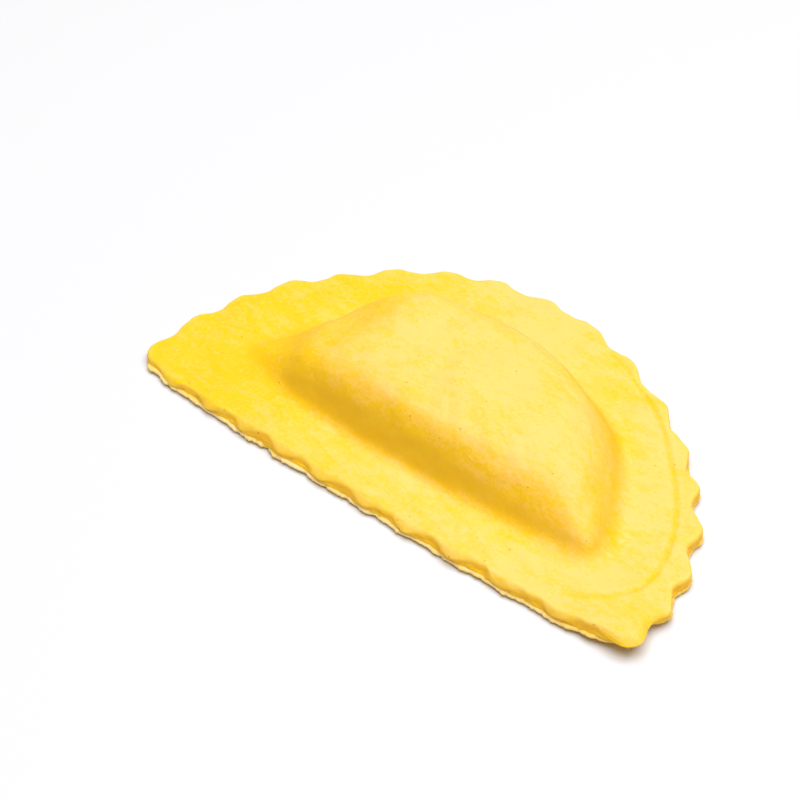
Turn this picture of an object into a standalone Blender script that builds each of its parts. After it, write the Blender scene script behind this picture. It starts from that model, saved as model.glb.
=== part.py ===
"""Half-moon raviolo: two sheets of egg pasta pressed together round a filling.

Metres, +Z up.  The flat underside lies on z = 0, the straight side runs along X
and faces -Y, the curved side faces +Y, and the origin is under the middle of
the outline's box.  The filling can't be seen, so the upper sheet and what it
covers are one solid body; the lower sheet is a second, thin flat one.

The plan is worked out first with x = 0, y = 0 at the middle of the straight
side, and both bodies are moved to the origin at the end.
"""

import math

import bmesh
import bpy
import numpy as np
from mathutils import Matrix

# ------------------------------------------------------- plan of the half-moon
ARC_RADIUS = 0.0364           # curved side, from the middle of the straight side
ARC_FLAT = 0.00120            # the curve is flatter between its right end and its crown,
ARC_FLAT_AT = 58.0            # round this angle (degrees from +X),
ARC_FLAT_WIDTH = 30.0
ARC_CROWN = 0.0010            # and fuller just left of the middle
ARC_CROWN_AT = 101.0
ARC_CROWN_WIDTH = 24.0
CORNER_ANGLES = (-3.0, 181.6) # where the curve meets the straight side
FRONT_BOW = 0.0016            # the straight side bows outward by this much
CORNER_SOFTNESS = 0.0016      # how far the two corners are rounded off

# ----------------------------------------------------------------- fluted edge
FLUTES = 28                   # flutes all the way round
STATIONS_PER_FLUTE = 6
FLUTE_CREST_AT = 0.34         # the crest leans towards the hollow before it
FLUTE_HOLLOWS = (             # share of the way round from the right corner: hollow number
    (0.020, 1), (0.086, 3), (0.124, 4), (0.154, 5), (0.234, 7), (0.313, 9),
    (0.666, 19), (0.727, 21), (0.793, 23), (0.859, 25), (0.933, 27), (0.972, 28),
)
FLUTE_DEPTH_ARC = 0.00048     # half of crest to hollow, on the curved side
FLUTE_DEPTH_FRONT = 0.00036   # and on the straight side, which is pressed softer
LOWER_FLUTE_SHARE = 0.35      # the cut edge's foot follows the flutes only this much

# ----------------------------------------------------- thicknesses and heights
LOWER_SHEET = 0.0008          # lower sheet, under the whole outline
SEAM_GAP = 0.0003             # between the two sheets
RIM_TOP = 0.0020              # upper face of the flat rim
LIP_ROUND = 0.00045           # rounding of the rim's upper edge
WALL_FLARE = 0.00020          # the cut edge widens by this much towards the table
LOWER_LIP = 0.00015           # the lower sheet shows by this much past the upper one
RIM_THIN_LEFT = 0.0005        # the rim is pressed thinner at the left corner
CURL_HEIGHT = 0.0009          # the right corner curls up off the table
CURL_LENGTH = 0.0110

# press line: a shallow groove inside the right half of the curved edge
PRESS_CENTRE = (-0.0030, 0.0005)
PRESS_RADIUS = 0.0356
PRESS_FRONT = 0.0008          # where its end turns along the straight side
PRESS_BLEND = 0.0090
PRESS_LEAST_INSET = 0.0016    # it runs no nearer to the edge than this
PRESS_DEPTH = 0.00025
PRESS_HALF_WIDTH = 0.00045
PRESS_ANGLES = (2.0, 12.0, 55.0, 88.0)   # it starts, is full, fades and ends here

# ------------------------------------------------------------ the filled pocket
POCKET_FOOT = (               # where it springs from the rim, from the left end along
    (-0.0268, 0.0082), (-0.0260, 0.0069), (-0.0240, 0.0058), (-0.0200, 0.0049),
    (-0.0169, 0.0045), (-0.0130, 0.0044), (-0.0090, 0.0042), (-0.0050, 0.0040),
    (0.0000, 0.0039), (0.0050, 0.0039), (0.0100, 0.0040), (0.0140, 0.0042),
    (0.0190, 0.0044), (0.0220, 0.0045), (0.0242, 0.0045), (0.0255, 0.0053),
    (0.0254, 0.0074), (0.0246, 0.0100), (0.0232, 0.0132), (0.0213, 0.0166),
    (0.0174, 0.0218), (0.0114, 0.0250), (0.0051, 0.0268), (-0.0012, 0.0274),
    (-0.0075, 0.0267), (-0.0136, 0.0246), (-0.0187, 0.0207), (-0.0227, 0.0156),
    (-0.0245, 0.0117),
)
POCKET_SOFTNESS = 0.0012      # rounding of that outline
POCKET_HEIGHT = 0.0079        # crown above the rim
POCKET_RISE_LENGTH = 0.00168  # inside the foot it gains 63% of what is left over this length
POCKET_FILLET = 0.00050       # soft hollow where it springs from the rim
POCKET_INSET = 0.00030        # the rise starts this far inside the outline
POCKET_LOSS_LEFT = (0.47, -0.008, -0.026)    # share it is lower at the left end, between
POCKET_LOSS_RIGHT = (0.17, 0.008, 0.026)     # two places, and at the right end
POCKET_SWELLS = (             # x, y, radius and height of the filling's lumps
    (-0.0125, 0.0200, 0.0052, 0.0014),
    (-0.0168, 0.0150, 0.0028, -0.0009),
    (0.0120, 0.0170, 0.0050, 0.0003),
)
POCKET_HUB = (-0.0012, 0.0150)

PASTA_TOP_COLOUR = (0.93, 0.66, 0.13, 1.0)
PASTA_LOW_COLOUR = (0.90, 0.68, 0.27, 1.0)
PASTA_ROUGHNESS = 0.55


# -------------------------------------------------------------- plan outline
def arc_radius(degrees):
    """Distance of the curved side from the straight side's middle, at an angle."""
    flat = ARC_FLAT * np.exp(-(((degrees - ARC_FLAT_AT) / ARC_FLAT_WIDTH) ** 2))
    crown = ARC_CROWN * np.exp(-(((degrees - ARC_CROWN_AT) / ARC_CROWN_WIDTH) ** 2))
    return ARC_RADIUS - flat + crown


def evenly(points, count):
    """Resample a closed curve at equal steps; returns the points and its length."""
    closed = np.vstack([points, points[:1]])
    run = np.concatenate([[0.0], np.cumsum(np.hypot(*np.diff(closed, axis=0).T))])
    at = np.linspace(0.0, run[-1], count, endpoint=False)
    return np.stack([np.interp(at, run, closed[:, k]) for k in (0, 1)], axis=1), run[-1]


def softened(points, softness, count):
    """Resample a closed curve and round its corners off."""
    points, length = evenly(points, count)
    wave = np.fft.fftfreq(count, 1.0 / count)
    soften = np.exp(-2.0 * (math.pi * wave * softness / length) ** 2)
    curve = np.fft.ifft(np.fft.fft(points[:, 0] + 1j * points[:, 1]) * soften)
    return evenly(np.stack([curve.real, curve.imag], axis=1), count)[0]


def base_outline(count=2400):
    """The half-moon without its flutes, anticlockwise from the right corner."""
    degrees = np.linspace(*CORNER_ANGLES, 1400)
    radius = arc_radius(degrees)
    arc_x = radius * np.cos(np.radians(degrees))
    arc_y = radius * np.sin(np.radians(degrees))
    share = np.linspace(0.0, 1.0, 900)[1:-1]
    front_x = arc_x[-1] + (arc_x[0] - arc_x[-1]) * share
    front_y = arc_y[-1] + (arc_y[0] - arc_y[-1]) * share
    front_y -= FRONT_BOW * (1.0 - (2.0 * share - 1.0) ** 2) ** 0.6
    points = np.stack([np.r_[arc_x, front_x], np.r_[arc_y, front_y]], axis=1)
    return softened(points, CORNER_SOFTNESS, count)


def flute_number(share):
    """Flutes counted round the edge: whole numbers at the hollows."""
    marks = np.array(FLUTE_HOLLOWS)
    at = np.r_[marks[-1, 0] - 1.0, marks[:, 0], marks[0, 0] + 1.0]
    number = np.r_[marks[-1, 1] - FLUTES, marks[:, 1], marks[0, 1] + FLUTES]
    return np.interp(share, at, number)


def stations():
    """Points round the base outline, outward normals, flute depth, front share."""
    base = base_outline()
    share = np.arange(-200, len(base) + 200) / len(base)
    index = np.arange(-200, len(base) + 200) % len(base)
    wanted = 1.0 + np.arange(FLUTES * STATIONS_PER_FLUTE) / STATIONS_PER_FLUTE
    at = np.interp(wanted, flute_number(share), share) % 1.0
    ahead = np.roll(base, -8, axis=0) - np.roll(base, 8, axis=0)
    points = np.stack([np.interp(at, share, base[index, k]) for k in (0, 1)], axis=1)
    tangent = np.stack([np.interp(at, share, ahead[index, k]) for k in (0, 1)], axis=1)
    tangent /= np.linalg.norm(tangent, axis=1)[:, None]
    normal = np.stack([tangent[:, 1], -tangent[:, 0]], axis=1)
    on_front = np.clip((-normal[:, 1] - 0.55) / 0.35, 0.0, 1.0)
    part = wanted - np.floor(wanted)
    turn = np.where(part < FLUTE_CREST_AT, 0.5 * part / FLUTE_CREST_AT,
                    0.5 + 0.5 * (part - FLUTE_CREST_AT) / (1.0 - FLUTE_CREST_AT))
    wave = -np.cos(2.0 * math.pi * turn)
    wave = wave + 0.18 * (1.0 - wave * wave)          # broad crests, tighter hollows
    depth = FLUTE_DEPTH_ARC + (FLUTE_DEPTH_FRONT - FLUTE_DEPTH_ARC) * on_front
    return points, normal, wave * depth, on_front


# ------------------------------------------------------------------- heights
def smooth_step(value):
    value = np.clip(value, 0.0, 1.0)
    return value * value * (3.0 - 2.0 * value)


def inside_half_moon(x, y, centre, radius, front, blend):
    """How far a point lies inside a half-moon with soft corners; negative outside."""
    from_arc = radius - np.hypot(x - centre[0], y - centre[1])
    from_front = y - front
    mix = np.clip(0.5 + 0.5 * (from_front - from_arc) / blend, 0.0, 1.0)
    return from_front + (from_arc - from_front) * mix - blend * mix * (1.0 - mix)


def inside_curve(x, y, curve):
    """How far points lie inside a closed anticlockwise curve; negative outside."""
    x, y = np.atleast_1d(x), np.atleast_1d(y)
    ahead = np.roll(curve, -1, axis=0) - curve
    nearest = np.full(x.shape, np.inf)
    turns = np.zeros(x.shape, int)
    for (ax, ay), (bx, by) in zip(curve, ahead):
        dx, dy = x - ax, y - ay
        along = np.clip((dx * bx + dy * by) / (bx * bx + by * by), 0.0, 1.0)
        nearest = np.minimum(nearest, np.hypot(dx - along * bx, dy - along * by))
        left = bx * dy - by * dx
        turns += ((dy >= 0.0) & (dy < by) & (left > 0.0)).astype(int)
        turns -= ((dy < 0.0) & (dy >= by) & (left < 0.0)).astype(int)
    return np.where(turns != 0, nearest, -nearest)


def inside_pocket(x, y):
    return inside_curve(x, y, POCKET_CURVE)


def inside_press(x, y):
    return inside_half_moon(x, y, PRESS_CENTRE, PRESS_RADIUS, PRESS_FRONT, PRESS_BLEND)


def pocket_height(x, y):
    """Height of the pocket above the rim: a soft hollow, a steep flank, then a flattening top."""
    inside = inside_pocket(x, y)
    soft = POCKET_FILLET * np.logaddexp(0.0, (inside - POCKET_INSET) / POCKET_FILLET)
    rise = 1.0 - np.exp(-soft / POCKET_RISE_LENGTH)
    height = POCKET_HEIGHT
    for loss, near, far in (POCKET_LOSS_LEFT, POCKET_LOSS_RIGHT):
        height = height * (1.0 - loss * smooth_step((x - near) / (far - near)))
    for sx, sy, radius, lift in POCKET_SWELLS:
        height = height + lift * np.exp(-((x - sx) ** 2 + (y - sy) ** 2) / radius**2)
    return height * rise


def curl(x, y):
    """Lift of the right corner."""
    along = smooth_step((x - (ARC_RADIUS - CURL_LENGTH)) / CURL_LENGTH)
    across = 1.0 - smooth_step((y + 0.001) / CURL_LENGTH)
    return CURL_HEIGHT * along * across


def rim_top(x, y):
    """Upper face of the rim, thinner at the left corner and lifted at the right one."""
    thin = smooth_step((-x - 0.018) / 0.016) * (1.0 - smooth_step(y / 0.012))
    return RIM_TOP - RIM_THIN_LEFT * thin + curl(x, y)


def press_depth(x, y):
    """Depth of the press line round the half-moon."""
    angle = np.degrees(np.arctan2(y, x))
    start, full, fade, end = PRESS_ANGLES
    rise = smooth_step((angle - start) / (full - start))
    return PRESS_DEPTH * rise * (1.0 - smooth_step((angle - fade) / (end - fade)))


POCKET_CURVE = softened(np.array(POCKET_FOOT), POCKET_SOFTNESS, 240)


def crossing(start, inside, least):
    """Along the ray from each outline point to the hub: where a shape is entered."""
    hub = np.array(POCKET_HUB)
    reach = np.linalg.norm(hub - start, axis=1)
    direction = (hub - start) / reach[:, None]
    result = np.empty(len(start))
    for index in range(len(start)):
        steps = np.arange(0.0, reach[index], 0.00005)
        path = start[index][:, None] + direction[index][:, None] * steps
        entered = np.nonzero(inside(*path) > 0.0)[0]
        result[index] = max(steps[entered[0]], least)
    return result, direction, reach


# --------------------------------------------------------------- loft by rings
def loft(name, rings, colour):
    """Skin a stack of closed rings into one body, each ring extruded from the last."""
    mesh = bmesh.new()
    order = mesh.verts.layers.int.new("station")
    first = [mesh.verts.new(point) for point in rings[0]]
    for index, vert in enumerate(first):
        vert[order] = index
    count = len(first)
    edges = [mesh.edges.new((first[i], first[(i + 1) % count])) for i in range(count)]
    bmesh.ops.edgeloop_fill(mesh, edges=edges)
    for ring in rings[1:]:
        made = bmesh.ops.extrude_edge_only(mesh, edges=edges)["geom"]
        new = {item for item in made if isinstance(item, bmesh.types.BMVert)}
        for vert in new:
            vert.co = ring[vert[order]]
        edges = [
            item
            for item in made
            if isinstance(item, bmesh.types.BMEdge) and set(item.verts) <= new
        ]
    bmesh.ops.edgeloop_fill(mesh, edges=edges)
    bmesh.ops.triangulate(mesh, faces=mesh.faces[:])
    bmesh.ops.recalc_face_normals(mesh, faces=mesh.faces[:])
    data = bpy.data.meshes.new(name)
    mesh.to_mesh(data)
    mesh.free()
    data.shade_smooth()
    data.set_sharp_from_angle(angle=math.radians(40.0))
    material = bpy.data.materials.new(name + "_pasta")
    material.use_nodes = True
    shader = material.node_tree.nodes["Principled BSDF"]
    shader.inputs["Base Color"].default_value = colour
    shader.inputs["Roughness"].default_value = PASTA_ROUGHNESS
    data.materials.append(material)
    return bpy.data.objects.new(name, data)


def ring(points, heights):
    heights = np.broadcast_to(heights, len(points))
    return [(float(x), float(y), float(z)) for (x, y), z in zip(points, heights)]


def build():
    for item in list(bpy.data.objects):
        bpy.data.objects.remove(item, do_unlink=True)
    collection = bpy.data.collections.new("ravioli")
    bpy.context.scene.collection.children.link(collection)

    base, normal, flute, _ = stations()
    lip = base + normal * flute[:, None]
    foot = base + normal * (LOWER_FLUTE_SHARE * flute + WALL_FLARE)[:, None]
    pocket, inward, reach = crossing(base, inside_pocket, 0.0)
    press, _, _ = crossing(base, inside_press, PRESS_LEAST_INSET)

    def lifted(points, height):
        return ring(points, height + curl(points[:, 0], points[:, 1]))

    # lower sheet: flat underneath, its cut edge nearly upright
    edge = foot + normal * LOWER_LIP
    lower_rings = [
        lifted(edge + inward * 0.0095, 0.0),
        lifted(edge + inward * 0.0045, 0.0),
        lifted(edge + inward * 0.0003, 0.0),
        lifted(edge, 0.0003),
        lifted(edge + inward * 0.0002, LOWER_SHEET),
        lifted(edge + inward * 0.0045, LOWER_SHEET),
        lifted(edge + inward * 0.0095, LOWER_SHEET),
    ]
    lower = loft("pasta_lower_sheet", lower_rings, PASTA_LOW_COLOUR)

    # upper sheet and the pocket it covers
    seam = LOWER_SHEET + SEAM_GAP
    top = rim_top(lip[:, 0], lip[:, 1])
    rounding = np.minimum(LIP_ROUND, 0.55 * (top - seam - curl(lip[:, 0], lip[:, 1])))
    upper_rings = [
        lifted(foot + inward * 0.0095, seam),
        lifted(foot + inward * 0.0045, seam),
        lifted(foot, seam),
        ring(lip, top - rounding),
        ring(lip + inward * (0.35 * LIP_ROUND), top - 0.3 * rounding),
        ring(lip + inward * (1.10 * LIP_ROUND), top),
    ]
    for offset, share in ((-1.0, 0.0), (0.0, 1.0), (1.0, 0.0)):
        p = base + inward * (press + offset * PRESS_HALF_WIDTH)[:, None]
        height = rim_top(p[:, 0], p[:, 1]) - share * press_depth(p[:, 0], p[:, 1])
        upper_rings.append(ring(p, height))
    for share in (-0.06, 0.0, 0.04, 0.08, 0.13, 0.20, 0.30, 0.44, 0.62, 0.81):
        along = pocket + (reach - pocket) * share
        p = base + inward * along[:, None]
        height = rim_top(p[:, 0], p[:, 1]) + pocket_height(p[:, 0], p[:, 1])
        upper_rings.append(ring(p, height))
    upper = loft("pasta_upper_sheet", upper_rings, PASTA_TOP_COLOUR)

    # centre the outline's box on the origin
    corners = np.array([v.co[:] for o in (lower, upper) for v in o.data.vertices])
    middle = 0.5 * (corners.min(axis=0) + corners.max(axis=0))
    for item in (lower, upper):
        item.data.transform(Matrix.Translation((-middle[0], -middle[1], 0.0)))
        collection.objects.link(item)
    size = (corners.max(axis=0) - corners.min(axis=0)) * 1000.0
    print("size mm %.2f %.2f %.2f" % tuple(size), "centre mm %.3f %.3f" % tuple(middle[:2] * 1000))


build()
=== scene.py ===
"""Looks of the half-moon raviolo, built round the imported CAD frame.

Metres, in the CAD's frame.  The shape is worked out in millimetres in plan
coordinates whose zero is the middle of the straight side, and moved to the
frame's origin at the end.
"""

import math

import bmesh
import bpy
import numpy as np
from mathutils import Matrix, Vector


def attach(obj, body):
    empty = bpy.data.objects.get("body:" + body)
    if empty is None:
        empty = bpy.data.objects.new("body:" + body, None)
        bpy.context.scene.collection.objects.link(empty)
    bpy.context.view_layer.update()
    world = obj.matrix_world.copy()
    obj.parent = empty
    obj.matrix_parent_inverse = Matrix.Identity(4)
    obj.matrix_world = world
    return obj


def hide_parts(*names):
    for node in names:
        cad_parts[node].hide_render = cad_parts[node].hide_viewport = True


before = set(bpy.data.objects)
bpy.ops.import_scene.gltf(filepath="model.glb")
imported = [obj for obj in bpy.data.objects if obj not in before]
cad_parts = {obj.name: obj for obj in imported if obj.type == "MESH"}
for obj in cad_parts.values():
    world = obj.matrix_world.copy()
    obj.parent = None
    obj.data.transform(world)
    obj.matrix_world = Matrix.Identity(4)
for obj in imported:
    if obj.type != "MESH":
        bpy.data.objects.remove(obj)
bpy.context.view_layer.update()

MM = 0.001
PLAN_CENTRE = (-0.082, 16.887)     # middle of the CAD outline's box, in plan mm
rng = np.random.default_rng(20417)

# ------------------------------------------------------------------ plan sizes
ARC_RADIUS = 36.4
ARC_FLAT, ARC_FLAT_AT, ARC_FLAT_WIDTH = 1.20, 58.0, 30.0
ARC_CROWN, ARC_CROWN_AT, ARC_CROWN_WIDTH = 1.0, 101.0, 24.0
CORNER_ANGLES = (-3.0, 181.6)
FRONT_BOW = 1.6
CORNER_SOFTNESS = 1.6

LOWER_SHEET = 0.80
RIM_TOP = 2.00
RIM_THIN_LEFT = 0.5
WALL_FLARE = 0.20
CURL_HEIGHT, CURL_LENGTH = 0.9, 11.0

PRESS_CURVE = np.array([
    (28.4, 0.9), (30.8, 3.4), (31.9, 5.3), (32.0, 7.6), (31.4, 11.0), (29.6, 15.3), (27.5, 18.8),
    (25.3, 21.4), (22.6, 24.5), (19.4, 27.5), (16.2, 30.0), (13.2, 31.6), (8.7, 33.7), (2.2, 35.1),
    (-3.0, 35.2), (-10.0, 33.5), (-20.0, 28.5), (-28.0, 21.5), (-32.5, 14.0), (-33.5, 6.0),
    (-30.0, 2.0), (-20.0, -0.4), (0.0, -0.9), (20.0, -0.6), (25.0, -0.2),
])
PRESS_TAIL = ((26.3, -1.5), (31.3, 1.9))
CRUMBS = (                   # x, y, radius, height
    (22.7, 15.9, 0.29, 0.053),
    (23.6, 15.4, 0.30, 0.034),
    (24.1, 14.4, 0.25, 0.047),
    (24.9, 14.1, 0.27, 0.038),
    (24.9, 13.1, 0.28, 0.054),
    (25.1, 11.9, 0.29, 0.051),
    (25.9, 12.4, 0.22, 0.066),
    (26.0, 11.1, 0.30, 0.047),
    (26.0, 10.1, 0.30, 0.072),
    (24.1, 16.4, 0.18, 0.057),
    (23.0, 17.1, 0.26, 0.072),
    (29.2, 16.6, 0.25, 0.036),
    (29.9, 16.4, 0.23, 0.052),
    (27.1, 10.0, 0.23, 0.073),
    (27.1, 9.3, 0.21, 0.040),
    (27.1, 8.6, 0.23, 0.059),
    (25.4, 13.3, 0.29, 0.056),
    (26.0, 5.9, 0.20, 0.072),
    (26.4, 7.4, 0.23, 0.060),
)

POCKET_FOOT = np.array([
    (-26.8, 8.2), (-26.0, 6.9), (-24.0, 5.8), (-20.0, 4.9), (-16.9, 4.5), (-13.0, 4.4),
    (-9.0, 4.2), (-5.0, 4.0), (0.0, 3.9), (5.0, 3.9), (10.0, 4.0), (14.0, 4.2),
    (19.0, 4.4), (22.0, 4.5), (24.2, 4.5), (25.5, 5.3), (25.4, 7.4), (24.6, 10.0),
    (23.2, 13.2), (21.3, 16.6), (17.4, 21.8), (11.4, 25.0), (5.1, 26.8), (-1.2, 27.4),
    (-7.5, 26.7), (-13.6, 24.6), (-18.7, 20.7), (-22.7, 15.6), (-24.5, 11.7),
])
POCKET_SOFTNESS = 1.2
POCKET_HEIGHT, POCKET_RISE_LENGTH = 7.9, 1.12
POCKET_FILLET, POCKET_INSET = 0.50, 0.30
POCKET_LOSSES = ((0.47, -8.0, -26.0), (0.17, 8.0, 26.0))    # share, from, to
POCKET_SWELLS = (            # x, y, radius, lift
    (-12.5, 20.0, 5.2, 1.4), (-16.8, 15.0, 2.8, -0.9), (12.0, 17.0, 5.0, 0.3),
    (-3.4, 19.4, 0.8, 0.16), (-12.6, 13.7, 1.7, -0.16), (3.0, 12.0, 3.2, 0.12),
    (10.5, 9.5, 2.6, -0.10), (-6.0, 9.0, 3.0, -0.12), (17.5, 10.0, 2.4, 0.10),
)
HUB = np.array([-1.2, 15.0])

# the flutes: share of the way round where each hollow sits, its depth inwards,
# and how far the crest after it stands out (mm)
FLUTES = 28
FLUTE_LEAN = 0.28                # the crest leans towards the hollow before it
HOLLOW_AT = np.array([
    0.0196, 0.0504, 0.0850, 0.1237, 0.1525, 0.1892, 0.2333, 0.2708, 0.3125,
    0.3490, 0.3825, 0.4180, 0.4550, 0.4885, 0.5240, 0.5580, 0.5940, 0.6300,
    0.6646, 0.6958, 0.7254, 0.7575, 0.7921, 0.8237, 0.8583, 0.8938, 0.9325, 0.9704,
])
HOLLOW_IN = np.array([
    0.85, 0.78, 0.78, 0.66, 0.52, 0.45, 0.52, 0.45, 0.35,
    0.42, 0.50, 0.40, 0.48, 0.52, 0.44, 0.50, 0.42, 0.40,
    0.36, 0.38, 0.42, 0.46, 0.44, 0.42, 0.46, 0.50, 0.34, 0.28,
])
CREST_OUT = np.array([
    0.45, 0.52, 0.64, 0.50, 0.42, 0.46, 0.44, 0.34, 0.30,
    0.42, 0.40, 0.46, 0.38, 0.44, 0.46, 0.40, 0.42, 0.36,
    0.34, 0.36, 0.34, 0.38, 0.36, 0.40, 0.52, 0.36, 0.30, 0.34,
])


# --------------------------------------------------------------- small helpers
def smooth_step(value):
    value = np.clip(value, 0.0, 1.0)
    return value * value * (3.0 - 2.0 * value)


def bell(distance, width):
    return np.exp(-((distance / width) ** 2))


class Noise:
    """Smooth seeded noise in space: waves of about one length, amplitude about 1."""

    SIDE = 96

    def __init__(self, length, seed, stretch=(1.0, 1.0, 1.0), band=0.35):
        side = self.SIDE
        draw = np.random.default_rng(seed)
        wave = np.fft.fftfreq(side)
        kx, ky, kz = np.meshgrid(wave, wave, wave[: side // 2 + 1], indexing="ij")
        kz = np.abs(kz)
        k = np.sqrt(kx * kx + ky * ky + kz * kz)
        centre = 1.0 / 7.0                       # seven cells to a wave
        keep = np.exp(-(((k - centre) / (band * centre)) ** 2))
        field = np.fft.irfftn(np.fft.rfftn(draw.standard_normal((side,) * 3)) * keep, s=(side,) * 3)
        self.field = (field / field.std()).astype(np.float32)
        turn = Matrix.Rotation(0.7 + seed % 7, 3, "X") @ Matrix.Rotation(1.1 + seed % 5, 3, "Z")
        self.turn = np.array(turn)
        self.scale = 7.0 / length / np.array(stretch)

    def __call__(self, points):
        shape = points.shape[:-1]
        at = (points.reshape(-1, 3) * self.scale) @ self.turn.T + 11.3
        low = np.floor(at).astype(int)
        part = at - low
        part = part * part * (3.0 - 2.0 * part)
        value = np.zeros(len(at))
        for corner in range(8):
            bits = np.array([(corner >> 2) & 1, (corner >> 1) & 1, corner & 1])
            weight = np.prod(np.where(bits, part, 1.0 - part), axis=1)
            index = (low + bits) % self.SIDE
            value += weight * self.field[index[:, 0], index[:, 1], index[:, 2]]
        return value.reshape(shape)


# --------------------------------------------------------------------- outline
def arc_radius(degrees):
    flat = ARC_FLAT * np.exp(-(((degrees - ARC_FLAT_AT) / ARC_FLAT_WIDTH) ** 2))
    crown = ARC_CROWN * np.exp(-(((degrees - ARC_CROWN_AT) / ARC_CROWN_WIDTH) ** 2))
    return ARC_RADIUS - flat + crown


def evenly(points, count):
    closed = np.vstack([points, points[:1]])
    run = np.concatenate([[0.0], np.cumsum(np.hypot(*np.diff(closed, axis=0).T))])
    at = np.linspace(0.0, run[-1], count, endpoint=False)
    return np.stack([np.interp(at, run, closed[:, k]) for k in (0, 1)], axis=1), run[-1]


def softened(points, softness, count):
    points, length = evenly(points, count)
    wave = np.fft.fftfreq(count, 1.0 / count)
    soften = np.exp(-2.0 * (math.pi * wave * softness / length) ** 2)
    curve = np.fft.ifft(np.fft.fft(points[:, 0] + 1j * points[:, 1]) * soften)
    return evenly(np.stack([curve.real, curve.imag], axis=1), count)[0]


def base_outline(count=4800):
    degrees = np.linspace(*CORNER_ANGLES, 2400)
    radius = arc_radius(degrees)
    arc_x = radius * np.cos(np.radians(degrees))
    arc_y = radius * np.sin(np.radians(degrees))
    share = np.linspace(0.0, 1.0, 1600)[1:-1]
    front_x = arc_x[-1] + (arc_x[0] - arc_x[-1]) * share
    front_y = arc_y[-1] + (arc_y[0] - arc_y[-1]) * share
    front_y -= FRONT_BOW * (1.0 - (2.0 * share - 1.0) ** 2) ** 0.6
    points = np.stack([np.r_[arc_x, front_x], np.r_[arc_y, front_y]], axis=1)
    return softened(points, CORNER_SOFTNESS, count)


def stations(per_flute):
    """Plan points, outward normals, flute displacement and flute number round the edge."""
    base = base_outline()
    share = np.arange(len(base)) / len(base)
    marks = np.r_[HOLLOW_AT[-1] - 1.0, HOLLOW_AT, HOLLOW_AT[0] + 1.0, HOLLOW_AT[1] + 1.0]
    number = np.arange(0, FLUTES + 3)
    wanted = 1.0 + np.arange(FLUTES * per_flute) / per_flute
    # softened so that the spacing of stations changes gently
    at = np.interp(wanted, number, marks)
    kernel = np.hanning(per_flute + 3)
    kernel /= kernel.sum()
    drift = at - wanted / FLUTES
    pad = len(kernel) // 2
    drift = np.convolve(np.r_[drift[-pad:], drift, drift[:pad]], kernel, mode="valid")[: len(at)]
    at = (drift + wanted / FLUTES) % 1.0
    number_at = np.interp(at, marks, number)
    ahead = np.roll(base, -12, axis=0) - np.roll(base, 12, axis=0)
    points = np.stack([np.interp(at, share, base[:, k], period=1.0) for k in (0, 1)], axis=1)
    tangent = np.stack([np.interp(at, share, ahead[:, k], period=1.0) for k in (0, 1)], axis=1)
    tangent /= np.linalg.norm(tangent, axis=1)[:, None]
    normal = np.stack([tangent[:, 1], -tangent[:, 0]], axis=1)
    flute_of = np.floor(number_at).astype(int)
    part = number_at - flute_of
    inward = HOLLOW_IN[(flute_of - 1) % FLUTES]
    after = HOLLOW_IN[flute_of % FLUTES]
    crest = CREST_OUT[(flute_of - 1) % FLUTES]
    phase = 2.0 * math.pi * part
    phase = phase + FLUTE_LEAN * (1.0 - np.cos(phase))
    lift = (1.0 - np.cos(phase)) / 2.0
    low = np.where(phase < math.pi, inward, after)
    flute = -low + (low + crest) * lift
    return points, normal, flute, lift, at


# --------------------------------------------------------------------- heights
def inside_half_moon(x, y, centre, radius, front, blend):
    from_arc = radius - np.hypot(x - centre[0], y - centre[1])
    from_front = y - front
    mix = np.clip(0.5 + 0.5 * (from_front - from_arc) / blend, 0.0, 1.0)
    return from_front + (from_arc - from_front) * mix - blend * mix * (1.0 - mix)


class Inside:
    """How far points lie inside a closed curve, read from a fine table."""

    STEP = 0.2
    LOW = (-40.0, -8.0)
    SIZE = (401, 251)

    def __init__(self, curve):
        xs = self.LOW[0] + self.STEP * np.arange(self.SIZE[0])
        ys = self.LOW[1] + self.STEP * np.arange(self.SIZE[1])
        x, y = np.meshgrid(xs, ys, indexing="ij")
        nearest = np.full(x.shape, np.inf)
        turns = np.zeros(x.shape, int)
        ahead = np.roll(curve, -1, axis=0) - curve
        for (ax, ay), (bx, by) in zip(curve, ahead):
            dx, dy = x - ax, y - ay
            along = np.clip((dx * bx + dy * by) / (bx * bx + by * by), 0.0, 1.0)
            nearest = np.minimum(nearest, np.hypot(dx - along * bx, dy - along * by))
            left = bx * dy - by * dx
            turns += ((dy >= 0.0) & (dy < by) & (left > 0.0)).astype(int)
            turns -= ((dy < 0.0) & (dy >= by) & (left < 0.0)).astype(int)
        table = np.where(turns != 0, nearest, -nearest)
        fine, wide_blur = self.blurred(table, 0.35), self.blurred(table, 1.9)
        self.table = fine + (wide_blur - fine) * smooth_step((fine - 0.5) / 3.0)

    def blurred(self, table, radius):
        reach = int(3.0 * radius / self.STEP)
        weights = np.exp(-0.5 * (np.arange(-reach, reach + 1) * self.STEP / radius) ** 2)
        weights /= weights.sum()
        for axis in (0, 1):
            total = np.zeros_like(table)
            for offset, weight in zip(range(-reach, reach + 1), weights):
                total += weight * np.roll(table, offset, axis=axis)
            table = total
        return table

    def __call__(self, x, y):
        i = np.clip((x - self.LOW[0]) / self.STEP, 0.0, self.SIZE[0] - 1.001)
        j = np.clip((y - self.LOW[1]) / self.STEP, 0.0, self.SIZE[1] - 1.001)
        i0, j0 = i.astype(int), j.astype(int)
        s, t = i - i0, j - j0
        table = self.table
        return (
            table[i0, j0] * (1 - s) * (1 - t) + table[i0 + 1, j0] * s * (1 - t)
            + table[i0, j0 + 1] * (1 - s) * t + table[i0 + 1, j0 + 1] * s * t
        )


inside_pocket = Inside(softened(POCKET_FOOT, POCKET_SOFTNESS, 300))


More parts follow.
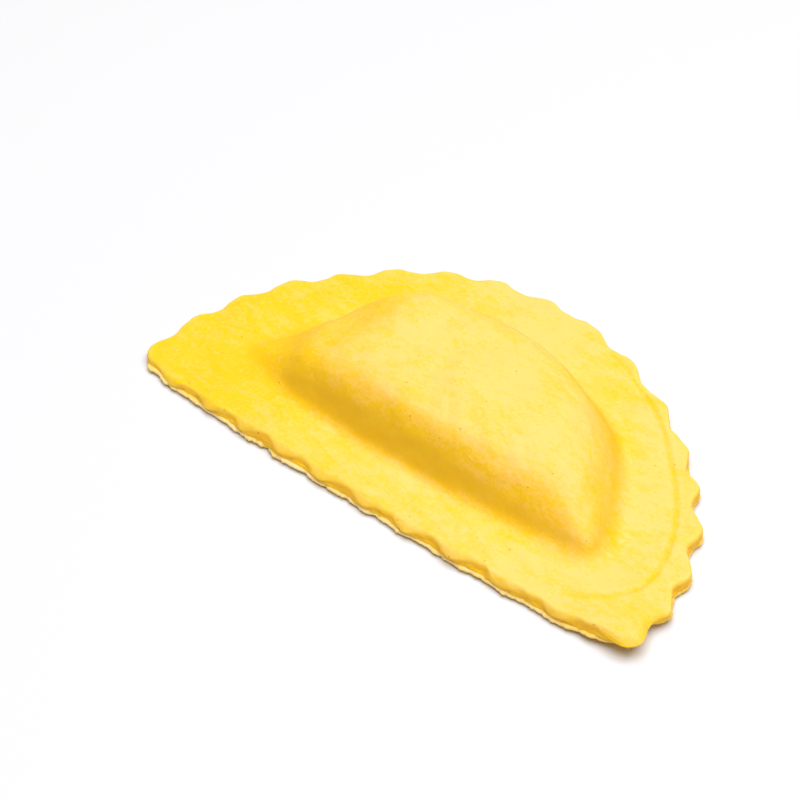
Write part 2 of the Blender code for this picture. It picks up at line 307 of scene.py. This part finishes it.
inside_press = Inside(softened(PRESS_CURVE, 0.9, 300))


def pocket_height(x, y):
    inside = inside_pocket(x, y)
    length = POCKET_RISE_LENGTH * (
        1.0 + 0.62 * smooth_step((x - 2.0) / 16.0) + 1.75 * smooth_step((-17.0 - x) / 8.0)
    )
    right = smooth_step((x - 8.0) / 12.0) * smooth_step((y - 3.5) / 4.0)
    fillet = POCKET_FILLET + 0.16 * right
    soft = fillet * np.logaddexp(0.0, (inside - POCKET_INSET - 0.12 * right) / fillet)
    rise = 1.0 - 0.74 * np.exp(-soft / length) - 0.26 * np.exp(-soft / (2.6 * length))
    height = POCKET_HEIGHT
    for loss, near, far in POCKET_LOSSES:
        height = height * (1.0 - loss * smooth_step((x - near) / (far - near)))
    for sx, sy, radius, lift in POCKET_SWELLS:
        height = height + lift * np.exp(-((x - sx) ** 2 + (y - sy) ** 2) / radius**2)
    return height * rise


def curl(x, y):
    along = smooth_step((x - (ARC_RADIUS - CURL_LENGTH)) / CURL_LENGTH)
    across = 1.0 - smooth_step((y + 1.0) / CURL_LENGTH)
    return CURL_HEIGHT * along * across


def thin_left(x, y):
    return RIM_THIN_LEFT * smooth_step((-x - 18.0) / 16.0) * (1.0 - smooth_step(y / 12.0))


def press_seen(x, y):
    angle = np.degrees(np.arctan2(y, x))
    seen = 1.0 - smooth_step((angle - 60.0) / 26.0)
    return seen * smooth_step((x - 23.0 + 1.6 * y) / 6.0) * smooth_step((x + 2.0) / 8.0)


def press_line(x, y):
    """The groove, the faint ridge beside it and the slightly lower band outside it."""
    d = inside_press(x, y)
    groove = -0.17 * bell(d, 0.27)
    ridge = 0.08 * bell(d - 0.85, 0.60)
    outside = 0.07 * bell(d + 0.75, 0.50)
    line = segment_distance(x, y, PRESS_TAIL[0], PRESS_TAIL[1])
    return press_seen(x, y) * (groove + ridge + outside) - 0.05 * bell(line, 0.30)


def segment_distance(x, y, start, end):
    dx, dy = end[0] - start[0], end[1] - start[1]
    along = np.clip(((x - start[0]) * dx + (y - start[1]) * dy) / (dx * dx + dy * dy), 0.0, 1.0)
    return np.hypot(x - start[0] - along * dx, y - start[1] - along * dy)


def trough(x, y):
    """Beside the right side of the pocket the rim sinks a little, then rises again."""
    d = -inside_pocket(x, y)
    right = smooth_step((x - 6.0) / 12.0) * smooth_step((y - 3.5) / 4.0)
    return right * (-0.16 * bell(d - 1.1, 1.2) + 0.09 * bell(d - 3.3, 0.8))


def crumbs(x, y):
    total = np.zeros_like(x)
    for cx, cy, radius, lift in CRUMBS:
        total = total + 1.5 * lift * bell(np.hypot(x - cx, y - cy), radius)
    return total


def streaks(x, y):
    """Fine creases along the way the dough was rolled, plainest on the right of the rim."""
    at = np.stack([x / 2.9, y / 0.62 + 0.12 * x, np.zeros_like(x)], axis=-1)
    where = smooth_step((-inside_pocket(x, y) - 0.6) / 1.2) * smooth_step((x - 14.0) / 6.0)
    where = where * smooth_step((y - 2.0) / 4.0) * smooth_step((inside_press(x, y) - 0.2) / 0.8)
    return (0.022 * where + 0.005) * unit(at)


unit = Noise(1.0, 51)
wide = Noise(11.0, 3)
broad = Noise(6.0, 5)
middle = Noise(2.6, 8)
small = Noise(1.15, 13)
grain = Noise(0.55, 21)


def rim_height(x, y):
    flat = np.stack([x, y, np.zeros_like(x)], axis=-1)
    waves = 0.10 * wide(flat) + 0.05 * broad(flat)
    return RIM_TOP - thin_left(x, y) + curl(x, y) + waves


def top_height(x, y):
    height = rim_height(x, y) + pocket_height(x, y) + press_line(x, y)
    return height + trough(x, y) + crumbs(x, y) + streaks(x, y)


# -------------------------------------------------------------- mesh building
def to_frame(points):
    out = np.array(points, float)
    out[..., 0] -= PLAN_CENTRE[0]
    out[..., 1] -= PLAN_CENTRE[1]
    return out * MM


def add_mesh(name, points, faces, attributes, material):
    data = bpy.data.meshes.new(name)
    data.from_pydata(to_frame(points).tolist(), [], [face[::-1] for face in faces])
    data.validate()
    work = bmesh.new()
    work.from_mesh(data)
    bmesh.ops.recalc_face_normals(work, faces=work.faces)
    work.to_mesh(data)
    work.free()
    for key, values in attributes.items():
        layer = data.attributes.new(key, "FLOAT", "POINT")
        layer.data.foreach_set("value", np.asarray(values, np.float32))
    data.shade_smooth()
    data.materials.append(material)
    item = bpy.data.objects.new(name, data)
    bpy.context.scene.collection.objects.link(item)
    return item


def band(first, second, count):
    """Quads between two rings of the same count."""
    i = np.arange(count)
    j = (i + 1) % count
    return np.stack([first + i, second + i, second + j, first + j], axis=1).tolist()


def halving_band(first, second, count):
    """From a ring of count points to one of count / 2."""
    faces = []
    half = count // 2
    for i in range(half):
        a, b, c = first + 2 * i, first + 2 * i + 1, first + (2 * i + 2) % count
        p, q = second + i, second + (i + 1) % half
        faces.append([a, p, b])
        faces.append([b, p, q])
        faces.append([b, q, c])
    return faces


def grid_normals(grid):
    """Normals of a (rings, stations, 3) grid that is closed round the stations."""
    along = np.roll(grid, -1, axis=1) - np.roll(grid, 1, axis=1)
    across = np.gradient(grid, axis=0)
    normal = np.cross(along, across)
    normal /= np.maximum(np.linalg.norm(normal, axis=2, keepdims=True), 1e-9)
    return normal


PER_FLUTE = 32
base, outward, flute, crest, share_at = stations(PER_FLUTE)
N = len(base)
reach = np.linalg.norm(HUB - base, axis=1)
inward = (HUB - base) / reach[:, None]

edge_noise = Noise(2.2, 31)
edge_fine = Noise(0.8, 33)
on_front = np.clip((-outward[:, 1] - 0.55) / 0.35, 0.0, 1.0)
at_corner = smooth_step((base[:, 0] - 30.5) / 4.5) * (1.0 - smooth_step((base[:, 1] - 1.5) / 4.0))
# the right corner is a blunt lobe
from_lobe = (share_at + 0.5) % 1.0 - 0.5 - 0.0045
flute = flute + 0.65 * bell(from_lobe, 0.0085)
# on the right the hollows are deeper bites, and every flute is a little softened
bitten = smooth_step((base[:, 0] - 18.0) / 7.0) * (1.0 - on_front) * (1.0 - at_corner)
flute = flute - 0.14 * bitten * bell(np.arccos(1.0 - 2.0 * np.clip(crest, 0.0, 1.0)), 1.10)
soft_by = np.exp(-0.5 * (np.arange(-9, 10) / 2.6) ** 2)
flute = np.convolve(np.r_[flute[-9:], flute, flute[:9]], soft_by / soft_by.sum(), mode="valid")
lip_plan = base + outward * (flute + 0.06 * edge_noise(np.c_[base, np.zeros(N)]))[:, None]
hollow = (1.0 - crest) * (1.0 - at_corner)
follow = 0.86 + (0.30 - 0.86) * on_front
flare = 0.04 + (0.15 - 0.04) * on_front
foot_plan = base + outward * (follow * flute + flare)[:, None]


def build_upper(material):
    # rows over the top, outermost first
    fixed = np.r_[np.arange(0.0, 1.21, 0.10), np.arange(1.35, 4.81, 0.165)]
    rows_free = 66
    lip_reach = np.linalg.norm(HUB - lip_plan, axis=1)
    lip_in = (HUB - lip_plan) / lip_reach[:, None]
    steps = np.linspace(0.0, 1.0, 420)
    d = fixed[-1] + (lip_reach[:, None] - 0.25 - fixed[-1]) * steps[None, :]
    px = lip_plan[:, 0, None] + lip_in[:, 0, None] * d
    py = lip_plan[:, 1, None] + lip_in[:, 1, None] * d
    pz = pocket_height(px, py)
    run = np.hypot(np.diff(d, axis=1), np.diff(pz, axis=1))
    run = np.concatenate([np.zeros((N, 1)), np.cumsum(run, axis=1)], axis=1)
    free = np.empty((rows_free, N))
    for i in range(N):
        free[:, i] = np.interp(np.linspace(0.0, run[i, -1], rows_free + 1)[1:], run[i], d[i])
    distance = np.vstack([np.repeat(fixed[:, None], N, axis=1), free])
    x = lip_plan[None, :, 0] + lip_in[None, :, 0] * distance
    y = lip_plan[None, :, 1] + lip_in[None, :, 1] * distance
    z = top_height(x, y)

    # the rim's upper edge rounds over towards the cut: gently at the crests,
    # tighter in the hollows; the right corner rolls down over a longer way
    gentle = np.clip(crest * on_front + at_corner, 0.0, 1.0)
    across = 0.34 + 0.12 * on_front + 0.80 * gentle + 0.40 * at_corner
    down = 0.34 + 0.10 * on_front + 0.40 * gentle
    t = np.clip(1.0 - distance / across, 0.0, 1.0)
    drop = down * ((1.0 - gentle) * (1.0 - np.sqrt(1.0 - t**2.2)) + gentle * t**1.8)
    bead = (0.06 - 0.04 * at_corner) * bell(distance - 0.75, 0.40) * (0.2 + 0.8 * hollow) * (1.0 - gentle)
    sag = -0.10 * hollow * bell(distance, 0.8)
    z = z - drop + bead + sag * (1.0 - 0.6 * at_corner)

    # the cut wall down to the seam
    wall_rows = 12
    q = np.linspace(0.0, 1.0, wall_rows + 1)[1:]
    top_z = z[0]
    lift = curl(foot_plan[:, 0], foot_plan[:, 1])
    seam_z = LOWER_SHEET + lift - 0.06 + 0.05 * edge_noise(np.c_[foot_plan, np.full(N, 4.0)])
    seam_z = np.minimum(seam_z, top_z - 0.25)
    seam_in = 0.03 + 0.05 * hollow * on_front + 0.03 * edge_fine(np.c_[foot_plan, np.zeros(N)])
    seam_plan = foot_plan - outward * (seam_in + 0.30 * at_corner)[:, None]
    wall = np.empty((wall_rows, N, 3))
    for k, s in enumerate(q):
        plan = lip_plan + (seam_plan - lip_plan) * s**1.1
        bow = (0.02 + 0.04 * hollow) * math.sin(math.pi * s)
        plan = plan - outward * bow[:, None]
        wall[k, :, :2] = plan
        wall[k, :, 2] = top_z + (seam_z - top_z) * s
    creased = small(wall) * 0.030 + grain(wall) * 0.018
    flat_wall = wall * np.array([1.0, 1.0, 3.0])
    creased = creased + 0.04 * middle(flat_wall)
    fade = np.sin(math.pi * np.clip(q, 0, 1))[:, None]
    wall[..., :2] += outward[None] * (creased * (0.2 + 0.8 * fade))[..., None]

    # relief over the top, along the normals
    grid = np.stack([x, y, z], axis=2)
    normals = grid_normals(grid)
    normals *= np.sign(normals[..., 2:3] + 1e-9)
    on_pocket = smooth_step(inside_pocket(x, y) / 3.0)
    relief = 0.06 * broad(grid) * on_pocket
    relief += (0.016 + 0.012 * on_pocket) * middle(grid) + 0.0065 * small(grid) + 0.0040 * grain(grid)
    from_hub = np.hypot(x - HUB[0], y - HUB[1])
    relief = relief * smooth_step(distance / 0.6) * smooth_step((from_hub - 0.25) / 0.8)
    grid = grid + normals * relief[..., None]

    steep = np.clip(1.0 - np.abs(normals[..., 2]), 0.0, 1.0)
    # Painted light and shade in the tone: paler on the pocket top, a painted sheen; darker on steep slopes, painted
    # shade.
    tone_and_painted_light = 0.50 + 0.42 * smooth_step(inside_pocket(x, y) / 4.5) - 1.0 * steep
    # Paler over the right of the rim.
    tone_and_painted_light = tone_and_painted_light + 0.30 * smooth_step((x - 6.0) / 18.0) * (1.0 - on_pocket)
    # Painted shadow of the neighbouring pieces darkens the left end; the wide noise is a random tone.
    tone_and_painted_light = tone_and_painted_light - 0.46 * smooth_step((-x - 8.0) / 20.0) + 0.06 * wide(grid)
    # Painted shade at the tip of the curled right corner.
    tone_and_painted_light = tone_and_painted_light - 0.26 * smooth_step((x - 31.0) / 5.0) * (1.0 - smooth_step((y - 1.0) / 5.0))
    # Painted shadow over the left end of the pocket.
    tone_and_painted_light = tone_and_painted_light - 0.40 * smooth_step((-x - 6.0) / 12.0) * on_pocket
    # Painted light on the far rim and on the right-back rim.
    far_rim_painted_light = smooth_step((y - 22.0) / 8.0) * bell(x + 1.5, 8.5)
    tone_and_painted_light = tone_and_painted_light + (0.62 * far_rim_painted_light + 0.20 * bell(np.hypot(x - 24.5, y - 21.0), 6.5)) * (1.0 - on_pocket)
    # Paler along the middle of the front rim.
    tone_and_painted_light = tone_and_painted_light + 0.13 * bell(x, 12.0) * (1.0 - smooth_step((y - 2.0) / 3.0))
    # Crumbs paler: partly their own colour, partly a painted highlight.
    tone_and_painted_light = tone_and_painted_light + 20.0 * crumbs(x, y)
    # Painted shade in the trough beside the pocket and in the press groove.
    trough_painted_shade = smooth_step((x - 6.0) / 12.0) * bell(-inside_pocket(x, y) - 0.7, 1.5)
    tone_and_painted_light = tone_and_painted_light - 0.20 * trough_painted_shade - 0.60 * press_seen(x, y) * bell(inside_press(x, y), 0.26)
    tone_and_painted_light = np.clip(tone_and_painted_light, -0.2, 1.2)
    # Painted shade: a darker, deeper yellow over the steep fold round the pocket's foot.
    fold_shade = smooth_step((steep - 0.20) / 0.42) * smooth_step((distance - 2.2) / 0.8)
    fold_shade = fold_shade * (1.0 - 0.95 * smooth_step((inside_pocket(x, y) - 0.60) / 1.1))

    half_from = 40
    rings, counts, tone_and_painted_light_rings, fold_shade_rings = [], [], [], [np.zeros(N * (wall_rows + 1))]
    bottom = np.concatenate([seam_plan - outward * 0.6, np.full((N, 1), LOWER_SHEET - 0.12)], axis=1)
    bottom[:, 2] += lift
    rings.append(bottom)
    counts.append(N)
    # The wall rings take a deeper tone: painted shade on the wall.
    tone_and_painted_light_rings.append(np.full(N, 0.3))
    for k in range(wall_rows - 1, -1, -1):
        rings.append(wall[k])
        counts.append(N)
        tone_and_painted_light_rings.append(np.full(N, 0.3))
    for k in range(len(distance)):
        thin = k >= len(fixed) + half_from
        rings.append(grid[k][::2] if thin else grid[k])
        tone_and_painted_light_rings.append(tone_and_painted_light[k][::2] if thin else tone_and_painted_light[k])
        fold_shade_rings.append(fold_shade[k][::2] if thin else fold_shade[k])
        counts.append(N // 2 if thin else N)
    starts = np.r_[0, np.cumsum(counts)]
    points = np.vstack(rings)
    faces = [list(range(counts[0] - 1, -1, -1))]
    for k in range(len(counts) - 1):
        if counts[k] == counts[k + 1]:
            faces += band(starts[k], starts[k + 1], counts[k])
        else:
            faces += halving_band(starts[k], starts[k + 1], counts[k])
    faces.append(list(range(starts[-2], starts[-1])))
    distance = distance + 2.0 * at_corner
    edge = np.concatenate(
        [np.full(N, -1.0)] * (wall_rows + 1)
        + [distance[k][::2] if k >= len(fixed) + half_from else distance[k] for k in range(len(distance))]
    )
    # Painted shade on the cut wall: a deeper orange all down the wall, strongest in the flute hollows.
    wall_and_hollow_shade = 0.30 + 0.70 * hollow ** 0.7
    wall_and_hollow_shade = np.clip(wall_and_hollow_shade, 0.0, 1.0)
    cut_wall_shade = np.concatenate(
        [wall_and_hollow_shade] + [wall_and_hollow_shade * smooth_step(s / 0.30) for s in q[::-1]]
        + [np.zeros(counts[k + 1 + wall_rows]) for k in range(len(distance))]
    )
    attributes = {"edge": edge, "cut_wall_shade": cut_wall_shade, "tone_and_painted_light": np.concatenate(tone_and_painted_light_rings), "fold_shade": np.concatenate(fold_shade_rings)}
    return add_mesh("raviolo_upper", points, faces, attributes, material)


def build_lower(material):
    nib = Noise(0.85, 41)
    nib_fine = Noise(0.40, 43)
    where = np.c_[foot_plan, np.zeros(N)]
    rough = 0.6 + 0.4 * smooth_step(0.5 + 0.5 * wide(where))
    ragged = 0.07 * edge_noise(np.c_[foot_plan, np.full(N, 9.0)])
    ragged += rough * (0.045 * nib(where) + 0.045 * np.maximum(nib_fine(where), -0.3))
    lift = curl(foot_plan[:, 0], foot_plan[:, 1])
    pull = 0.60 * at_corner + 0.10 * (1.0 - on_front)
    profile = [            # (outwards from the foot, height)
        (-1.70, 0.80), (-0.45, 0.80), (-0.26, 0.795), (-0.12, 0.775), (0.00, 0.74), (0.08, 0.70),
        (0.14, 0.65), (0.175, 0.59), (0.18, 0.52), (0.165, 0.44), (0.12, 0.37), (0.03, 0.32),
        (-0.12, 0.27), (-0.45, 0.19), (-0.95, 0.10), (-1.60, 0.02), (-2.30, 0.0), (-3.00, 0.0),
    ]
    rings = []
    for out, level in profile:
        share = smooth_step((out + 0.35) / 0.45)
        plan = foot_plan + outward * (max(out, -0.45) - pull + ragged * share)[:, None]
        plan = plan + inward * max(-0.45 - out, 0.0)
        z = level + lift * (0.35 if level < 0.01 else 1.0)
        if 0.15 < level < 0.79:
            here = np.c_[plan, z]
            plan = plan + outward * (0.016 * grain(here) + 0.018 * small(here))[:, None]
            z = z + 0.03 * share * nib(where + 7.0) + 0.02 * share * nib_fine(where + 3.0)
        rings.append(np.c_[plan, z])
    points = np.vstack(rings)
    faces = [list(range(N))]
    for k in range(len(rings) - 1):
        faces += band((k + 1) * N, k * N, N)
    last = (len(rings) - 1) * N
    faces.append(list(range(last + N - 1, last - 1, -1)))
    floury = 0.25 + 0.75 * on_front * (1.0 - at_corner)
    floury = np.concatenate([floury * smooth_step((out + 0.30) / 0.30) for out, _ in profile])
    return add_mesh("raviolo_lower", points, faces, {"floury": floury}, material)


# ------------------------------------------------------------------- materials
def pasta_material(name, pale):
    material = bpy.data.materials.new(name)
    material.use_nodes = True
    tree = material.node_tree
    nodes, links = tree.nodes, tree.links
    shader = nodes["Principled BSDF"]
    place = nodes.new("ShaderNodeTexCoord")

    def noise(scale, detail, rough, stretch=None):
        texture = nodes.new("ShaderNodeTexNoise")
        texture.inputs["Scale"].default_value = scale
        texture.inputs["Detail"].default_value = detail
        texture.inputs["Roughness"].default_value = rough
        if stretch:
            mapping = nodes.new("ShaderNodeMapping")
            mapping.inputs["Scale"].default_value = stretch
            mapping.inputs["Rotation"].default_value = (0.0, 0.0, -0.06)
            links.new(place.outputs["Object"], mapping.inputs["Vector"])
            links.new(mapping.outputs["Vector"], texture.inputs["Vector"])
        else:
            links.new(place.outputs["Object"], texture.inputs["Vector"])
        return texture.outputs["Fac"]

    def ramp(source, low, high, a=0.0, b=1.0):
        node = nodes.new("ShaderNodeMapRange")
        node.interpolation_type = "SMOOTHSTEP"
        node.inputs["From Min"].default_value = low
        node.inputs["From Max"].default_value = high
        node.inputs["To Min"].default_value = a
        node.inputs["To Max"].default_value = b
        links.new(source, node.inputs["Value"])
        return node.outputs["Result"]

    def mix(fac, a, b):
        node = nodes.new("ShaderNodeMix")
        node.data_type = "RGBA"
        for socket, value in ((node.inputs["Factor"], fac), (node.inputs["A"], a), (node.inputs["B"], b)):
            if isinstance(value, (tuple, float)):
                socket.default_value = value
            else:
                links.new(value, socket)
        return node.outputs["Result"]

    # The deeper colour serves random worn patches and the painted shade on steep slopes; the palest one serves
    # random pale grain and the painted sheen on the pocket top.
    deep_and_shade = (0.862, 0.530, 0.005, 1.0)
    plain = (0.900, 0.550, 0.066, 1.0)
    pale_and_sheen = (0.915, 0.576, 0.142, 1.0)
    cream = (0.900, 0.655, 0.300, 1.0)
    mottle = noise(330.0, 4.0, 0.6, (0.5, 1.0, 1.0))
    if pale:
        colour = mix(ramp(mottle, 0.35, 0.65), (0.920, 0.61, 0.17, 1.0), cream)
        floury = nodes.new("ShaderNodeAttribute")
        floury.attribute_name = "floury"
        colour = mix(floury.outputs["Fac"], (0.950, 0.535, 0.030, 1.0), colour)
        shine = 0.20
    else:
        tone_and_painted_light = nodes.new("ShaderNodeAttribute")
        tone_and_painted_light.attribute_name = "tone_and_painted_light"
        shifted = nodes.new("ShaderNodeMath")
        shifted.operation = "ADD"
        links.new(tone_and_painted_light.outputs["Fac"], shifted.inputs[0])
        spread = ramp(mottle, 0.25, 0.75, -0.24, 0.24)
        for source, size in (
            (noise(900.0, 3.0, 0.65, (0.45, 1.0, 1.0)), 0.24),
            (noise(3300.0, 3.0, 0.7, (0.6, 1.0, 1.0)), 0.28),
            (noise(130.0, 3.0, 0.6), 0.14),
        ):
            more = nodes.new("ShaderNodeMath")
            more.operation = "ADD"
            links.new(spread, more.inputs[0])
            links.new(ramp(source, 0.30, 0.70, -size, size), more.inputs[1])
            spread = more.outputs["Value"]
        links.new(spread, shifted.inputs[1])
        # The tone attribute brings random tone and painted light and shade into the colour.
        colour = mix(ramp(shifted.outputs["Value"], 0.0, 0.5), deep_and_shade, plain)
        colour = mix(ramp(shifted.outputs["Value"], 0.5, 1.0), colour, pale_and_sheen)
        grainy = ramp(noise(1700.0, 3.0, 0.6), 0.50, 0.72, 0.0, 0.40)
        colour = mix(grainy, colour, pale_and_sheen)
        worn = ramp(noise(1250.0, 3.0, 0.6), 0.55, 0.75, 0.0, 0.35)
        colour = mix(worn, colour, deep_and_shade)
        fold_shade = nodes.new("ShaderNodeAttribute")
        fold_shade.attribute_name = "fold_shade"
        # Painted shade on the steep fold round the pocket's foot.
        colour = mix(ramp(fold_shade.outputs["Fac"], 0.0, 1.0, 0.0, 0.80), colour, (0.775, 0.472, 0.014, 1.0))
        edge = nodes.new("ShaderNodeAttribute")
        edge.attribute_name = "edge"
        # Pale band just inside the lip: partly the dry floury edge, partly a painted highlight on the bead.
        near = ramp(edge.outputs["Fac"], 0.30, 0.90, 0.30, 0.0)
        colour = mix(near, colour, (0.930, 0.610, 0.11, 1.0))
        # Painted shade: deeper orange where the edge rolls down to the wall.
        turned_edge_shade = ramp(edge.outputs["Fac"], -0.20, 0.32, 0.70, 0.0)
        colour = mix(turned_edge_shade, colour, (0.960, 0.545, 0.030, 1.0))
        cut_wall_shade = nodes.new("ShaderNodeAttribute")
        cut_wall_shade.attribute_name = "cut_wall_shade"
        # Painted shade on the cut wall, strongest in the flute hollows.
        colour = mix(cut_wall_shade.outputs["Fac"], colour, (0.975, 0.515, 0.012, 1.0))
        shine = 0.22
    for scale, small_dot, large_dot, part_of, brown, most in (
        (430.0, 0.030, 0.062, 0.25, (0.58, 0.26, 0.012, 1.0), 0.80),
        (720.0, 0.035, 0.080, 0.55, (0.82, 0.41, 0.012, 1.0), 0.60),
    ):
        speck = nodes.new("ShaderNodeTexVoronoi")
        speck.inputs["Scale"].default_value = scale
        links.new(place.outputs["Object"], speck.inputs["Vector"])
        dot = ramp(speck.outputs["Distance"], small_dot, large_dot, most, 0.0)
        chosen = nodes.new("ShaderNodeSeparateColor")
        links.new(speck.outputs["Color"], chosen.inputs["Color"])
        some = nodes.new("ShaderNodeMath")
        some.operation = "GREATER_THAN"
        some.inputs[1].default_value = part_of
        links.new(chosen.outputs["Red"], some.inputs[0])
        both = nodes.new("ShaderNodeMath")
        both.operation = "MULTIPLY"
        links.new(dot, both.inputs[0])
        links.new(some.outputs["Value"], both.inputs[1])
        colour = mix(both.outputs["Value"], colour, brown)
    links.new(colour, shader.inputs["Base Color"])

    rough = ramp(noise(700.0, 3.0, 0.6), 0.3, 0.7, 0.50, 0.64)
    links.new(rough, shader.inputs["Roughness"])
    shader.inputs["Specular IOR Level"].default_value = shine
    shader.inputs["Subsurface Weight"].default_value = 0.30
    shader.inputs["Subsurface Radius"].default_value = (1.0, 0.55, 0.15)
    shader.inputs["Subsurface Scale"].default_value = 0.0014

    fine = noise(3200.0, 3.0, 0.6)
    streak = noise(1100.0, 3.0, 0.6)
    total = nodes.new("ShaderNodeMath")
    total.operation = "MULTIPLY_ADD"
    total.inputs[1].default_value = 1.6
    links.new(streak, total.inputs[0])
    links.new(fine, total.inputs[2])
    bump = nodes.new("ShaderNodeBump")
    bump.inputs["Strength"].default_value = 0.35
    bump.inputs["Distance"].default_value = 0.00003
    links.new(total.outputs["Value"], bump.inputs["Height"])
    links.new(bump.outputs["Normal"], shader.inputs["Normal"])
    return material


upper = build_upper(pasta_material("pasta_upper", False))
lower = build_lower(pasta_material("pasta_lower", True))
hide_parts("pasta_upper_sheet")
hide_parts("pasta_lower_sheet")
for piece in (upper, lower):
    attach(piece, "root")

# --------------------------------------------------------------- floor, lights
floor_data = bpy.data.meshes.new("floor")
side = 1.5
floor_data.from_pydata([(-side, -side, 0), (side, -side, 0), (side, side, 0), (-side, side, 0)], [], [(0, 1, 2, 3)])
floor = bpy.data.objects.new("floor", floor_data)
bpy.context.scene.collection.objects.link(floor)
floor_material = bpy.data.materials.new("floor_white")
floor_material.use_nodes = True
floor_shader = floor_material.node_tree.nodes["Principled BSDF"]
floor_shader.inputs["Base Color"].default_value = (0.705, 0.705, 0.705, 1.0)
floor_shader.inputs["Roughness"].default_value = 0.7
floor_shader.inputs["Specular IOR Level"].default_value = 0.2
floor_data.materials.append(floor_material)

world = bpy.data.worlds.new("studio")
bpy.context.scene.world = world
world.use_nodes = True
world.node_tree.nodes["Background"].inputs["Color"].default_value = (1.0, 0.85, 0.60, 1.0)
world.node_tree.nodes["Background"].inputs["Strength"].default_value = 0.34


def area_light(name, place, aim, size, power, colour=(1.0, 1.0, 1.0)):
    data = bpy.data.lights.new(name, "AREA")
    data.shape = "SQUARE"
    data.size = size
    data.energy = power
    data.color = colour
    item = bpy.data.objects.new(name, data)
    bpy.context.scene.collection.objects.link(item)
    item.location = place
    item.rotation_euler = (Vector(aim) - Vector(place)).to_track_quat("-Z", "Y").to_euler()
    return item


# camera frame: right and away from the camera, in the object's plan
AZIMUTH = math.radians(38.8)
RIGHT = Vector((math.cos(AZIMUTH), math.sin(AZIMUTH), 0.0))
AWAY = Vector((-math.sin(AZIMUTH), math.cos(AZIMUTH), 0.0))
UP = Vector((0.0, 0.0, 1.0))


def from_camera(right, away, up):
    return RIGHT * right + AWAY * away + UP * up


area_light("key", (0.11, 0.03, 0.78), (0, 0, 0.004), 0.80, 9.35, (0.97, 1.010, 1.11))

camera_data = bpy.data.cameras.new("camera")
camera = bpy.data.objects.new("camera", camera_data)
bpy.context.scene.collection.objects.link(camera)
camera_data.sensor_width = 36.0
camera_data.lens = 36.0 * 2555.0 / 800.0
camera_data.clip_start = 0.01
camera_data.clip_end = 20.0
LOOK_AT = Vector((-7.065, -4.931, 2.0)) * MM
ELEVATION = math.radians(44.5)
camera.location = LOOK_AT - AWAY * (0.300 * math.cos(ELEVATION)) + UP * (0.300 * math.sin(ELEVATION))
camera.rotation_euler = (LOOK_AT - camera.location).to_track_quat("-Z", "Y").to_euler()
bpy.context.scene.camera = camera
bpy.context.scene.view_settings.view_transform = "Standard"

print("triangles", {o.name: sum(len(p.vertices) - 2 for p in o.data.polygons) for o in (upper, lower)})
